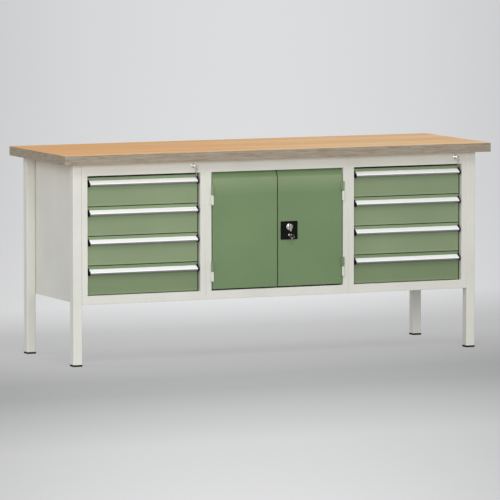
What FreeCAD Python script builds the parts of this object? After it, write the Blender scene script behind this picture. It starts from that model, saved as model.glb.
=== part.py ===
"""Workbench with two drawer cabinets and a door cabinet under a thick beech top.

Millimetres. +X runs along the bench to the right, +Y to the back, +Z up. The origin is on the
floor under the middle of the worktop. Every size comes from the spreadsheet called Sizes.
"""

import FreeCAD
import Part
import Sketcher

import math
import os
import re

SIZES = {
    # whole bench
    "top_length": 2000,
    "top_depth": 650,
    "top_thick": 40,
    "top_round": 1.5,
    "bench_height": 900,
    "front_overhang": 45,
    "side_overhang": 53,
    # legs and feet
    "leg_side": 40,
    "leg_wall": 2,
    "leg_round": 3,
    "foot_rise": 8,
    "foot_lip": 1,
    "plug_depth": 25,
    "plug_slack": 0.3,
    # cabinets
    "carcass_depth": 577,
    "carcass_height": 598,
    "middle_width": 672,
    "sheet": 1.5,
    "stile": 26,
    "frame_thick": 22,
    "frame_round": 1.5,
    "top_rail": 52,
    "bottom_rail": 37,
    # drawers
    "front_recess": 19,
    "front_thick": 14,
    "front_height": 122.5,
    "front_round": 3,
    "front_side_gap": 5,
    "front_top_gap": 8,
    "front_pitch": 125.5,
    "tray_side_gap": 12.5,
    "tray_depth": 500,
    "tray_height": 92,
    "tray_lift": 14,
    "bar_width": 9.5,
    "bar_height": 22,
    "bar_lift": 44,
    "rail_width": 35,
    "rail_slack": 0.5,
    "rail_length": 510,
    "rail_setback": 1,
    # grip strip
    "grip_drop": 13,
    "grip_height": 22,
    "grip_reach": 24,
    "grip_nose_drop": 14,
    "grip_lip_reach": 17,
    "grip_wall": 4,
    "grip_web": 2,
    "nose_round": 4,
    "cap_width": 7,
    "cap_rise": 5,
    "cap_drop": 26,
    # doors
    "door_gap": 4.5,
    "door_thick": 20,
    "door_bevel": 28,
    "door_bottom_gap": 6,
    "door_top_gap": 2,
    "knuckle_radius": 5.5,
    "knuckle_height": 41,
    "knuckle_out": 6,
    "knuckle_gap": 0.5,
    "hinge_pin_radius": 3,
    "pin_end_gap": 4,
    "pin_slack": 0.05,
    "tab_width": 8,
    "tab_offset": 6,
    "tab_end_gap": 3,
    "upper_hinge": 709,
    "lower_hinge": 381,
    # shelf
    "shelf_height": 545,
    "shelf_thick": 20,
    "shelf_setback": 60,
    "shelf_slack": 2,
    "clip_width": 14,
    "clip_length": 28,
    "clip_thick": 4,
    "clip_setback": 20,
    "clip_end_gap": 60,
    # door lock
    "plate_side": 79,
    "plate_thick": 4,
    "plate_from_edge": 11.25,
    "plate_middle": 546,
    "handle_rise": 15,
    "key_drop": 19,
    "hub_radius": 15,
    "hub_thick": 5,
    "grip_bar_width": 13,
    "grip_bar_length": 34,
    "grip_bar_out": 17,
    "spindle_radius": 4,
    "spindle_slack": 0.3,
    "spindle_bore": 6,
    "pinion_radius": 9.55,
    "pinion_thick": 6,
    "rod_width": 10,
    "rod_thick": 3,
    "rod_clear": 4,
    "rod_overlap": 25,
    "rod_end_gap": 3,
    "rod_slot": 2,
    # keys and drawer locks
    "lock_from_side": 84,
    "lock_height": 839,
    "barrel_radius": 9,
    "barrel_flange": 10.5,
    "barrel_proud": 1.5,
    "barrel_length": 19,
    "rotor_radius": 5,
    "rotor_slack": 0.1,
    "bow_radius": 8,
    "bow_thick": 2,
    "bow_hole": 3,
    "bow_out": 16,
    "blade_width": 6,
    "blade_length": 22,
    "ring_radius": 9,
    "ring_wire": 0.6,
    # fasteners
    "bolt_radius": 4,
    "bolt_head_radius": 6.5,
    "bolt_head": 5,
    "bolt_length": 16,
    "bolt_slack": 0.4,
    "bolt_inset": 31,
    "bolt_end_gap": 60,
    "screw_radius": 2.5,
    "screw_head_radius": 5,
    "screw_head": 3,
    "screw_length": 25,
    "screw_inset": 60,
    # how far touching solids of one part reach into each other, so that they fuse
    "lap": 0.01,
}

DRAWERS_PER_CABINET = 4
SIDES = {"left": -1, "right": 1}

# Lines that many expressions share, written from the cells above.
WORDS = {
    "front_plane": "(front_overhang - top_depth / 2)",
    "back_plane": "(front_overhang - top_depth / 2 + carcass_depth)",
    "carcass_top": "(bench_height - top_thick)",
    "carcass_bottom": "(bench_height - top_thick - carcass_height)",
    "cabinet_end": "(top_length / 2 - side_overhang - leg_side)",
    "side_width": "(top_length / 2 - side_overhang - leg_side - middle_width / 2)",
    "opening_top": "(bench_height - top_thick - top_rail)",
    "opening_bottom": "(bench_height - top_thick - carcass_height + bottom_rail)",
    "front_width": "(top_length / 2 - side_overhang - leg_side - middle_width / 2"
                   " - 2 * stile - 2 * front_side_gap)",
    "tray_width": "(top_length / 2 - side_overhang - leg_side - middle_width / 2"
                  " - 2 * stile - 2 * tray_side_gap)",
    "door_width": "((middle_width - 2 * stile - 3 * door_gap) / 2)",
    "door_bottom": "(bench_height - top_thick - carcass_height + bottom_rail + door_bottom_gap)",
    "door_height": "(carcass_height - top_rail - bottom_rail - door_bottom_gap - door_top_gap)",
    "hinge_line": "(middle_width / 2 - stile - door_gap / 2)",
    "lock_line": "(door_gap / 2 + plate_from_edge + plate_side / 2)",
    "handle_level": "(plate_middle + handle_rise)",
    "key_level": "(plate_middle - key_drop)",
    "lower_rod_x": "(door_gap / 2 + plate_from_edge + plate_side / 2 + pinion_radius + spindle_slack)",
    "rod_plane": "(front_overhang - top_depth / 2 + door_thick + rod_clear)",
}

doc = FreeCAD.newDocument("workbench")
sheet = doc.addObject("Spreadsheet::Sheet", "Sizes")
for row, (alias, number) in enumerate(SIZES.items(), start=1):
    sheet.set(f"A{row}", alias)
    sheet.set(f"B{row}", str(number))
    sheet.setAlias(f"B{row}", alias)
doc.recompute()

sub_parts = []


def formula(text):
    """The text as a FreeCAD expression: shared words spelt out, cells named in full."""
    text = str(text)
    for word, meaning in WORDS.items():
        text = re.sub(rf"\b{word}\b", meaning, text)
    return re.sub(r"[a-z_]+", lambda m: f"Sizes.{m[0]}" if m[0] in SIZES else m[0], text)


def value(text):
    """The number that a formula stands for now."""
    result = sheet.evalExpression(formula(text))
    return float(getattr(result, "Value", result))


def bind(thing, **formulas):
    """Tie properties of an object to formulas. A double underscore stands for a dot."""
    for name, text in formulas.items():
        thing.setExpression(name.replace("__", "."), formula(text))


def place(thing, at, turn=(0, 0, 1), degrees=0):
    """Put an object at three formulas, turned about an axis through its own origin."""
    rotation = FreeCAD.Rotation(FreeCAD.Vector(*turn), degrees)
    thing.Placement = FreeCAD.Placement(FreeCAD.Vector(), rotation)
    bind(thing, Placement__Base__x=at[0], Placement__Base__y=at[1], Placement__Base__z=at[2])
    return thing


def box(size, at):
    """A plain box of three formulas with its lowest corner at three more."""
    solid = doc.addObject("Part::Box", "Box")
    bind(solid, Length=size[0], Width=size[1], Height=size[2])
    return place(solid, at)


def rod(radius, height, at, along="z"):
    """A cylinder that starts at a point and runs along +X, +Y, -Y or +Z."""
    turns = {"z": ((0, 0, 1), 0), "x": ((0, 1, 0), 90), "y": ((1, 0, 0), -90), "-y": ((1, 0, 0), 90)}
    solid = doc.addObject("Part::Cylinder", "Cylinder")
    bind(solid, Radius=radius, Height=height)
    return place(solid, at, *turns[along])


def cut(base, tool):
    """The base with the tool taken away."""
    result = doc.addObject("Part::Cut", "Cut")
    result.Base = base
    result.Tool = tool
    return result


def fuse(*solids):
    """The solids joined to one."""
    result = doc.addObject("Part::MultiFuse", "Fusion")
    result.Shapes = list(solids)
    return result


def group(*solids):
    """Separate solids held in one sub-part."""
    result = doc.addObject("Part::Compound", "Group")
    result.Links = list(solids)
    return result


def named(label, thing):
    """Make an object a sub-part of the bench, under its own name."""
    thing.Label = label
    sub_parts.append(thing)
    return thing


def draw_outline(sketch, corners):
    """A closed outline of straight lines in a sketch, each corner held by two formulas."""
    count = len(corners)
    spots = [FreeCAD.Vector(value(across), value(up), 0) for across, up in corners]
    first = sketch.GeometryCount
    for i in range(count):
        sketch.addGeometry(Part.LineSegment(spots[i], spots[(i + 1) % count]), False)
    for i in range(count):
        sketch.addConstraint(
            Sketcher.Constraint("Coincident", first + i, 2, first + (i + 1) % count, 1)
        )
    for i, (across, up) in enumerate(corners):
        for kind, text, distance in (("DistanceX", across, spots[i].x), ("DistanceY", up, spots[i].y)):
            index = sketch.addConstraint(Sketcher.Constraint(kind, -1, 1, first + i, 1, distance))
            sketch.renameConstraint(index, f"{kind.lower()}_{first + i}")
            sketch.setExpression(f"Constraints.{kind.lower()}_{first + i}", formula(text))


def new_sketch(body, plane, *outlines):
    """A sketch on one of the body's own origin planes."""
    sketch = body.newObject("Sketcher::SketchObject", "Outline")
    support = [f for f in body.Origin.OriginFeatures if f.Role == plane][0]
    sketch.AttachmentSupport = [(support, "")]
    sketch.MapMode = "FlatFace"
    for corners in outlines:
        draw_outline(sketch, corners)
    return sketch


def rectangle(x_low, y_low, x_high, y_high):
    """The four corners of a rectangle, as formulas."""
    return [(x_low, y_low), (x_high, y_low), (x_high, y_high), (x_low, y_high)]


def prism(plane, length, *outlines, middle=False, back=False):
    """A body padded from outlines on an origin plane: the first is filled, the others are holes."""
    body = doc.addObject("PartDesign::Body", "Body")
    sketch = new_sketch(body, plane, *outlines)
    pad = body.newObject("PartDesign::Pad", "Pad")
    pad.Profile = sketch
    pad.Reversed = back
    bind(pad, Length=length)
    pad.Midplane = middle
    doc.recompute()
    return body


def pocket(body, plane, length, outline, middle=False, back=False):
    """Cut an outline on an origin plane out of the body, and make sure that it cuts."""
    before = body.Shape.Volume
    cutter = body.newObject("PartDesign::Pocket", "Pocket")
    cutter.Profile = new_sketch(body, plane, outline)
    cutter.Reversed = back
    bind(cutter, Length=length)
    cutter.Midplane = middle
    doc.recompute()
    if body.Shape.Volume >= before:
        raise RuntimeError("a pocket cut nothing")
    return body


def round_edges(body, radius, wanted):
    """Round the straight edges that wanted(middle, direction) picks."""
    tip = body.Tip
    names = []
    for i, edge in enumerate(tip.Shape.Edges, start=1):
        if len(edge.Vertexes) < 2:
            continue
        direction = (edge.Vertexes[1].Point - edge.Vertexes[0].Point).normalize()
        if wanted(edge.CenterOfMass, direction):
            names.append(f"Edge{i}")
    if not names:
        raise RuntimeError("no edge to round")
    fillet = body.newObject("PartDesign::Fillet", "Fillet")
    fillet.Base = (tip, names)
    bind(fillet, Radius=radius)
    doc.recompute()
    return body


# Worktop: one glued slab with its edges just broken.
top = prism(
    "XY_Plane", "top_thick", rectangle("-top_length/2", "-top_depth/2", "top_length/2", "top_depth/2")
)
round_edges(top, "top_round", lambda middle, direction: True)
named("worktop", place(top, (0, 0, "carcass_top")))

# Legs: square tube, with two bolt holes in the side that meets the cabinet.
bolt_levels = ("carcass_bottom + bolt_end_gap", "carcass_top - bolt_end_gap")
for depth_word, y_middle, y_bolt in (
    ("front", "front_plane + leg_side/2", "front_plane + bolt_inset"),
    ("back", "back_plane - leg_side/2", "back_plane - bolt_inset"),
):
    for side_word, side in SIDES.items():
        half = "leg_side/2"
        bore = "(leg_side/2 - leg_wall)"
        leg = prism(
            "XY_Plane",
            "carcass_top - foot_rise",
            rectangle(f"-{half}", f"-{half}", half, half),
            rectangle(f"-{bore}", f"-{bore}", bore, bore),
        )
        wall_line = value(half)
        round_edges(
            leg,
            "leg_round",
            lambda middle, direction: abs(direction.z) > 0.99 and abs(abs(middle.x) - wall_line) < 0.01,
        )
        place(leg, (f"{side} * (cabinet_end + leg_side/2)", y_middle, "foot_rise"))
        inner_face = f"{side} * (cabinet_end + leg_wall/2) - leg_wall"
        drills = [
            rod("bolt_radius + bolt_slack", "2 * leg_wall", (inner_face, y_bolt, z), "x")
            for z in bolt_levels
        ]
        named(f"leg_{depth_word}_{side_word}", cut(leg, group(*drills)))

# Foot plugs: a black cap under each leg with a plug that fits inside the tube.
plugs = []
for side in SIDES.values():
    for y_middle in ("(front_plane + leg_side/2)", "(back_plane - leg_side/2)"):
        x_middle = f"{side} * (cabinet_end + leg_side/2)"
        cap_side = "(leg_side + 2*foot_lip)"
        plug_side = "(leg_side - 2*leg_wall - 2*plug_slack)"
        cap = box(
            (cap_side, cap_side, "foot_rise"),
            (f"{x_middle} - {cap_side}/2", f"{y_middle} - {cap_side}/2", 0),
        )
        plug = box(
            (plug_side, plug_side, "foot_rise + plug_depth"),
            (f"{x_middle} - {plug_side}/2", f"{y_middle} - {plug_side}/2", 0),
        )
        plugs.append(fuse(cap, plug))
named("foot_plugs", group(*plugs))


def square_tube(length, x_low, x_high, y_low, y_high, z_low):
    """An upright folded box section, its front outer corners rounded."""
    wide = f"(({x_high}) - ({x_low}))"
    deep = f"(({y_high}) - ({y_low}))"
    tube = prism(
        "XY_Plane",
        length,
        rectangle(0, 0, wide, deep),
        rectangle("sheet", "sheet", f"{wide} - sheet", f"{deep} - sheet"),
    )
    return place(tube, (x_low, y_low, z_low))


def level_tube(length, x_low, y_low, z_low, deep, high):
    """A folded box section that runs along X."""
    tube = prism(
        "YZ_Plane",
        length,
        rectangle(0, 0, deep, high),
        rectangle("sheet", "sheet", f"{deep} - sheet", f"{high} - sheet"),
    )
    return place(tube, (x_low, y_low, z_low))


def shelf_clips():
    """Four small ledges on the middle cabinet's side sheets, under the shelf."""
    clips = []
    for side in SIDES.values():
        for y in ("front_plane + shelf_setback + clip_setback", "back_plane - clip_end_gap"):
            clip_x = f"{side} * (middle_width/2 - sheet) - (1 + {side}) * clip_width/2"
            clip_z = "shelf_height + shelf_thick - sheet - clip_thick"
            clips.append(box(("clip_width", "clip_length", "clip_thick"), (clip_x, y, clip_z)))
    return clips


def floor_round_rod(x_low, x_high, y_low, deep, z):
    """The middle cabinet's floor: a sheet and, in front of it, a strip on each side of the rod."""
    strip_deep = f"(rod_plane + rod_thick + rod_slot - ({y_low}))"
    slot_low = "(lower_rod_x - rod_slot)"
    slot_high = "(lower_rod_x + rod_width + rod_slot)"
    return [
        box((f"{slot_low} - ({x_low})", strip_deep, "sheet"), (x_low, y_low, z)),
        box((f"({x_high}) - {slot_high}", strip_deep, "sheet"), (slot_high, y_low, z)),
        box(
            (f"({x_high}) - ({x_low})", f"{deep} - {strip_deep}", "sheet"),
            (x_low, f"{y_low} + {strip_deep}", z),
        ),
    ]


def carcass(x_low, width, floor_level, bolted_side=0, lock_x=None, shelved=False):
    """A welded cabinet: a face frame of box sections, and side, floor, top and back sheets."""
    x_high = f"({x_low} + {width})"
    y_sheet = "front_plane + frame_thick"
    deep = "carcass_depth - frame_thick"
    inside = f"({width} - 2*sheet)"
    solids = []
    for stile_x in (x_low, f"{x_high} - stile"):
        tube = square_tube(
            "carcass_height", stile_x, f"{stile_x} + stile", "front_plane", y_sheet, "carcass_bottom"
        )
        outer_x = 0 if stile_x == x_low else value("stile")
        round_edges(
            tube,
            "frame_round",
            lambda middle, direction: abs(direction.z) > 0.99
            and abs(middle.x - outer_x) < 0.01
            and middle.y < 0.01,
        )
        solids.append(tube)
    rail_length = f"{width} - 2*stile"
    rail_x = f"{x_low} + stile"
    solids.append(
        level_tube(rail_length, rail_x, "front_plane", "carcass_bottom", "frame_thick", "bottom_rail")
    )
    upper = level_tube(rail_length, rail_x, "front_plane", "opening_top", "frame_thick", "top_rail")
    if lock_x:
        bore_start = (lock_x, "front_plane - barrel_proud", "lock_height")
        upper = cut(upper, rod("barrel_radius + rotor_slack", "frame_thick", bore_start, "y"))
    solids.append(upper)
    for side in SIDES.values():
        wall_x = x_low if side < 0 else f"{x_high} - sheet"
        wall = box(("sheet", deep, "carcass_height"), (wall_x, y_sheet, "carcass_bottom"))
        if side == bolted_side:
            drills = [
                rod("bolt_radius + bolt_slack", "3*sheet", (f"{wall_x} - sheet", y, z), "x")
                for y in ("front_plane + bolt_inset", "back_plane - bolt_inset")
                for z in bolt_levels
            ]
            wall = cut(wall, group(*drills))
        solids.append(wall)
    inner_x = f"{x_low} + sheet"
    inner_deep = f"({deep} - sheet)"
    if shelved:
        solids += floor_round_rod(inner_x, f"{x_high} - sheet", y_sheet, inner_deep, floor_level)
    else:
        solids.append(box((inside, inner_deep, "sheet"), (inner_x, y_sheet, floor_level)))
    lid = box((inside, inner_deep, "sheet"), (inner_x, y_sheet, "carcass_top - sheet"))
    drills = [
        rod("screw_radius + bolt_slack", "3*sheet", (x, y, "carcass_top - 2*sheet"))
        for x in (f"{x_low} + screw_inset", f"{x_high} - screw_inset")
        for y in ("front_plane + screw_inset", "back_plane - screw_inset")
    ]
    solids.append(cut(lid, group(*drills)))
    back_corner = (inner_x, "back_plane - sheet", "carcass_bottom")
    solids.append(box((inside, "sheet", "carcass_height"), back_corner))
    if shelved:
        solids += shelf_clips()
    return group(*solids)


CABINET_LOW = {"left": "(-cabinet_end)", "middle": "(-middle_width/2)", "right": "(middle_width/2)"}
CABINET_WIDTH = {"left": "side_width", "middle": "middle_width", "right": "side_width"}
LOCK_X = {side: f"({CABINET_LOW[side]} + side_width - lock_from_side + stile)" for side in SIDES}

for cabinet in ("left", "middle", "right"):
    named(
        f"carcass_{cabinet}",
        carcass(
            CABINET_LOW[cabinet],
            CABINET_WIDTH[cabinet],
            "opening_bottom - sheet" if cabinet == "middle" else "carcass_bottom",
            SIDES.get(cabinet, 0),
            LOCK_X.get(cabinet),
            shelved=cabinet == "middle",
        ),
    )

# Bolts: button heads inside the cabinets, shanks through the sheet into each leg.
bolts = []
for side in SIDES.values():
    for y in ("front_plane + bolt_inset", "back_plane - bolt_inset"):
        for z in bolt_levels:
            if side < 0:
                head_x = "-cabinet_end + sheet"
                shank_x = "-cabinet_end + sheet - bolt_length"
            else:
                head_x = "cabinet_end - sheet - bolt_head"
                shank_x = "cabinet_end - sheet - lap"
            head = rod("bolt_head_radius", "bolt_head", (head_x, y, z), "x")
            shank = rod("bolt_radius", "bolt_length + lap", (shank_x, y, z), "x")
            bolts.append(fuse(head, shank))
named("leg_bolts", group(*bolts))

# Screws that hold the worktop: up through the top sheet of each cabinet, into the wood.
screws = []
for cabinet in ("left", "middle", "right"):
    low = CABINET_LOW[cabinet]
    for x in (f"{low} + screw_inset", f"{low} + {CABINET_WIDTH[cabinet]} - screw_inset"):
        for y in ("front_plane + screw_inset", "back_plane - screw_inset"):
            head = rod("screw_head_radius", "screw_head", (x, y, "carcass_top - sheet - screw_head"))
            shank = rod("screw_radius", "screw_length", (x, y, "carcass_top - sheet - lap"))
            screws.append(fuse(head, shank))
named("worktop_screws", group(*screws))


def drawer_level(number):
    """The height of a drawer front's lower edge, counted from the top drawer, number 1."""
    return f"(opening_top - front_top_gap - front_height - {number - 1} * front_pitch)"


# Fixed runner rails: C channels on the cabinet walls, open towards the drawers.
for side_word, side in SIDES.items():
    rails = []
    for number in range(1, DRAWERS_PER_CABINET + 1):
        bar_low = f"({drawer_level(number)} + bar_lift)"
        rail_low = f"({bar_low} - rail_slack - sheet)"
        rail_high = "(bar_height + 2*rail_slack + 2*sheet)"
        for hand in (-1, 1):
            tip = "-rail_width" if hand > 0 else "rail_width"
            skin = "-sheet" if hand > 0 else "sheet"
            section = [
                (0, 0),
                (tip, 0),
                (tip, "sheet"),
                (skin, "sheet"),
                (skin, f"{rail_high} - sheet"),
                (tip, f"{rail_high} - sheet"),
                (tip, rail_high),
                (0, rail_high),
            ]
            channel = prism("XZ_Plane", "rail_length", section, back=True)
            from_low = "sheet" if hand < 0 else "side_width - sheet"
            wall_x = f"{CABINET_LOW[side_word]} + {from_low}"
            rail_y = "front_plane + front_recess + front_thick + rail_setback"
            rails.append(place(channel, (wall_x, rail_y, rail_low)))
    named(f"runner_rails_{side_word}", group(*rails))


def drawer(side_word, number):
    """One drawer: green front, tray with runner bars, grip strip and the strip's end caps."""
    name = f"drawer_{side_word}_{number}"
    middle = f"({CABINET_LOW[side_word]} + side_width/2)"
    low = drawer_level(number)
    face = "(front_plane + front_recess)"

    front = prism(
        "XZ_Plane",
        "front_thick",
        rectangle("-front_width/2", 0, "front_width/2", "front_height"),
        back=True,
    )
    round_edges(front, "front_round", lambda spot, direction: spot.y < 0.01 and abs(direction.y) < 0.01)
    hollow = box(
        ("front_width - 2*sheet", "front_thick", "front_height - 2*sheet"),
        ("sheet - front_width/2", "front_round", "sheet"),
    )
    named(f"{name}_front", place(cut(front, hollow), (middle, face, low)))

    x_low = f"({middle} - tray_width/2)"
    y_low = f"({face} + front_thick)"
    z_low = f"({low} + tray_lift)"
    z_wall = f"({z_low} + sheet)"
    wall_high = "(tray_height - sheet)"
    tray = [
        box(("tray_width", "tray_depth", "sheet"), (x_low, y_low, z_low)),
        box(("tray_width", "sheet", wall_high), (x_low, y_low, z_wall)),
        box(("tray_width", "sheet", wall_high), (x_low, f"{y_low} + tray_depth - sheet", z_wall)),
    ]
    for hand in (-1, 1):
        wall_x = x_low if hand < 0 else f"{x_low} + tray_width - sheet"
        bar_x = f"{x_low} - bar_width" if hand < 0 else f"{x_low} + tray_width"
        wall_size = ("sheet", "tray_depth - 2*sheet", wall_high)
        bar_size = ("bar_width", "tray_depth - sheet", "bar_height")
        tray.append(box(wall_size, (wall_x, f"{y_low} + sheet", z_wall)))
        tray.append(box(bar_size, (bar_x, y_low, f"{low} + bar_lift")))
    named(f"{name}_tray", group(*tray))

    grip_top = f"{low} + front_height - grip_drop"
    slope = "(grip_nose_drop / grip_reach)"
    strip = prism(
        "YZ_Plane",
        "front_width - 2*cap_width",
        [
            (0, 0),
            ("-grip_reach", "-grip_nose_drop"),
            ("-grip_lip_reach", "-grip_height"),
            ("grip_wall - grip_lip_reach", "-grip_height"),
            ("grip_wall - grip_reach", "-grip_nose_drop"),
            ("-grip_web", f"-(grip_wall + grip_web) * {slope}"),
            ("-grip_web", "-grip_height"),
            (0, "-grip_height"),
        ],
        middle=True,
    )
    nose = -value("grip_reach - grip_wall/2")
    round_edges(
        strip, "nose_round", lambda spot, direction: abs(direction.x) > 0.99 and spot.y < nose
    )
    named(f"{name}_grip", place(strip, (middle, face, grip_top)))

    caps = []
    for hand in (-1, 1):
        cap = prism(
            "YZ_Plane",
            "cap_width",
            [
                (0, "cap_rise"),
                ("-grip_reach", "-grip_nose_drop"),
                ("-grip_lip_reach", "-cap_drop"),
                (0, "-cap_drop"),
            ],
        )
        round_edges(
            cap, "nose_round", lambda spot, direction: abs(direction.x) > 0.99 and spot.y < nose
        )
        cap_edge = "- front_width/2" if hand < 0 else "+ front_width/2 - cap_width"
        caps.append(place(cap, (f"{middle} {cap_edge}", face, grip_top)))
    named(f"{name}_grip_caps", group(*caps))


for side_word in SIDES:
    for number in range(1, DRAWERS_PER_CABINET + 1):
        drawer(side_word, number)

# Doors: folded pans, open at the back, bevelled along the top, with the upper half of each hinge.
for side_word, side in SIDES.items():
    pan = prism(
        "YZ_Plane",
        "door_width",
        [
            (0, 0),
            ("door_thick", 0),
            ("door_thick", "door_height"),
            (0, "door_height - door_bevel"),
        ],
        middle=True,
    )
    pocket(
        pan,
        "YZ_Plane",
        "door_width - 2*sheet",
        [
            ("sheet", "sheet"),
            ("door_thick + 1", "sheet"),
            ("door_thick + 1", "door_height - 4*sheet"),
            ("door_thick - sheet", "door_height - 4*sheet"),
            ("sheet", "door_height - door_bevel - 1.2*sheet"),
        ],
        middle=True,
    )
    place(pan, (f"{side} * (door_gap + door_width)/2", "front_plane", "door_bottom"))
    pieces = [pan]
    bores = []
    for level in ("upper_hinge", "lower_hinge"):
        axis_x = f"{side} * hinge_line"
        axis_y = "front_plane - knuckle_out"
        tab_x = f"{side} * (hinge_line - tab_offset) - tab_width/2"
        pieces += [
            rod("knuckle_radius", "knuckle_height", (axis_x, axis_y, level)),
            box(
                ("tab_width", "knuckle_out", "knuckle_height - 2*tab_end_gap"),
                (tab_x, axis_y, f"{level} + tab_end_gap"),
            ),
        ]
        bore_start = (axis_x, axis_y, f"{level} - knuckle_gap/2")
        bores.append(rod("hinge_pin_radius + pin_slack", "knuckle_height", bore_start))
    door = fuse(*pieces)
    if side > 0:
        for z in ("handle_level", "key_level"):
            bore_start = ("lock_line", "front_plane - sheet", z)
            bores.append(rod("spindle_bore", "door_thick", bore_start, "y"))
    named(f"door_{side_word}", cut(door, group(*bores)))

# Lower hinge halves: knuckle, weld tab and pin, fixed to the face frame.
hinges = []
for side in SIDES.values():
    for level in ("upper_hinge", "lower_hinge"):
        axis_x = f"{side} * hinge_line"
        axis_y = "front_plane - knuckle_out"
        low = f"{level} - knuckle_height - knuckle_gap"
        tab_x = f"{side} * (hinge_line + tab_offset) - tab_width/2"
        barrel = rod("knuckle_radius", "knuckle_height", (axis_x, axis_y, low))
        tab = box(
            ("tab_width", "knuckle_out", "knuckle_height - 2*tab_end_gap"),
            (tab_x, axis_y, f"{low} + tab_end_gap"),
        )
        pin = rod("hinge_pin_radius", "2*knuckle_height - pin_end_gap", (axis_x, axis_y, low))
        hinges.append(fuse(barrel, tab, pin))
named("hinge_lower_halves", group(*hinges))

# Shelf with folded front and back edges, resting on four clips.
shelf_width = "(middle_width - 2*sheet - 2*shelf_slack)"
shelf_deep = "(carcass_depth - sheet - shelf_slack - shelf_setback)"
shelf = prism(
    "YZ_Plane",
    shelf_width,
    [
        (0, 0),
        ("sheet", 0),
        ("sheet", "shelf_thick - sheet"),
        (f"{shelf_deep} - sheet", "shelf_thick - sheet"),
        (f"{shelf_deep} - sheet", 0),
        (shelf_deep, 0),
        (shelf_deep, "shelf_thick"),
        (0, "shelf_thick"),
    ],
    middle=True,
)
named("shelf", place(shelf, (0, "front_plane + shelf_setback", "shelf_height")))

# Lock plate on the right door, with a hole for the handle's hub and one for the key's rotor.
plate = prism(
    "XZ_Plane",
    "plate_thick",
    rectangle("-plate_side/2", "-plate_side/2", "plate_side/2", "plate_side/2"),
    back=False,
)
round_edges(plate, "leg_round", lambda spot, direction: abs(direction.y) > 0.99)
place(plate, ("lock_line", "front_plane", "plate_middle"))
plate_bores = [
    rod(radius, "2*plate_thick", ("lock_line", "front_plane - 1.5*plate_thick", z), "y")
    for radius, z in (
        ("spindle_radius + spindle_slack", "handle_level"),
        ("rotor_radius + rotor_slack", "key_level"),
    )
]
named("lock_plate", cut(plate, group(*plate_bores)))

# Turn handle: grip bar, hub, spindle through the door, and the pinion behind it.
plate_face = "(front_plane - plate_thick - spindle_slack)"
hub = rod("hub_radius", "hub_thick", ("lock_line", plate_face, "handle_level"), "-y")
bar = box(
    ("grip_bar_width", "grip_bar_out", "grip_bar_length"),
    ("lock_line - grip_bar_width/2", f"{plate_face} - grip_bar_out", "handle_level - hub_radius"),
)
spindle = rod("spindle_radius", f"rod_plane - {plate_face}", ("lock_line", plate_face, "handle_level"), "y")
pinion = rod("pinion_radius", "pinion_thick", ("lock_line", "rod_plane", "handle_level"), "y")
named("door_handle", fuse(hub, bar, spindle, pinion))

# Locking rods: flat bars that run past the pinion, one on each side of it, which it drives apart.
rod_bars = {
    "upper": (
        "2*lock_line - lower_rod_x - rod_width",
        "(handle_level - rod_overlap)",
        "(opening_top - rod_end_gap)",
    ),
    "lower": ("lower_rod_x", "(opening_bottom + rod_end_gap)", "(handle_level + rod_overlap)"),
}
for place_word, (x, z_low, z_high) in rod_bars.items():
    named(
        f"locking_rod_{place_word}",
        box(("rod_width", "rod_thick", f"{z_high} - {z_low}"), (x, "rod_plane", z_low)),
    )

# Drawer lock barrels: a flanged sleeve in each top rail.
barrels = []
for side_word in SIDES:
    x = LOCK_X[side_word]
    flange = rod("barrel_flange", "barrel_proud", (x, "front_plane", "lock_height"), "-y")
    sleeve = rod("barrel_radius", "barrel_length", (x, "front_plane - lap", "lock_height"), "y")
    core = rod(
        "rotor_radius + rotor_slack",
        "barrel_length + 4*barrel_proud",
        (x, "front_plane - 2*barrel_proud", "lock_height"),
        "y",
    )
    barrels.append(cut(fuse(flange, sleeve), core))
named("drawer_lock_barrels", group(*barrels))


def key_shape():
    """A flat key at the origin: bow in the YZ plane round the origin, blade along +Y."""
    bow = rod("bow_radius", "bow_thick", ("-bow_thick/2", 0, 0), "x")
    blade = box(
        ("bow_thick", "blade_length - bow_hole - 1", "blade_width"),
        ("-bow_thick/2", "bow_hole + 1", "-blade_width/2"),
    )
    hole = rod("bow_hole", "4*bow_thick", ("-2*bow_thick", 0, 0), "x")
    return cut(fuse(bow, blade), hole)


def key_with_spare(name, x, z, surface, rotor_length):
    """A key in its lock, turning with the lock's rotor, and a spare on a ring through its bow."""
    bow_y = f"({surface} - bow_out)"
    key = place(key_shape(), (x, bow_y, z))
    rotor = rod("rotor_radius", rotor_length, (x, surface, z), "y")
    named(f"{name}_key", fuse(key, rotor))

    eighth_turn = math.sqrt(0.5)
    ring_x = f"({x} + ring_radius * {eighth_turn})"
    ring_z = f"({z} - ring_radius * {eighth_turn})"
    ring = doc.addObject("Part::Torus", "Ring")
    bind(ring, Radius1="ring_radius", Radius2="ring_wire")
    place(ring, (ring_x, bow_y, ring_z), (1, 0, 0), 90)
    spare = key_shape()
    facing = FreeCAD.Rotation(FreeCAD.Vector(0, 0, 1), -45)
    hanging = FreeCAD.Rotation(FreeCAD.Vector(1, 0, 0), -90)
    spare.Placement = FreeCAD.Placement(FreeCAD.Vector(), facing.multiply(hanging))
    bind(
        spare,
        Placement__Base__x=ring_x,
        Placement__Base__y=bow_y,
        Placement__Base__z=f"{ring_z} - ring_radius",
    )
    named(f"{name}_spare_key", group(ring, spare))


for side_word in SIDES:
    key_with_spare(
        f"drawer_lock_{side_word}",
        LOCK_X[side_word],
        "lock_height",
        "(front_plane - barrel_proud)",
        "barrel_length",
    )
key_with_spare(
    "door_lock", "lock_line", "key_level", "(front_plane - plate_thick)", "plate_thick + 2*sheet"
)

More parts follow.
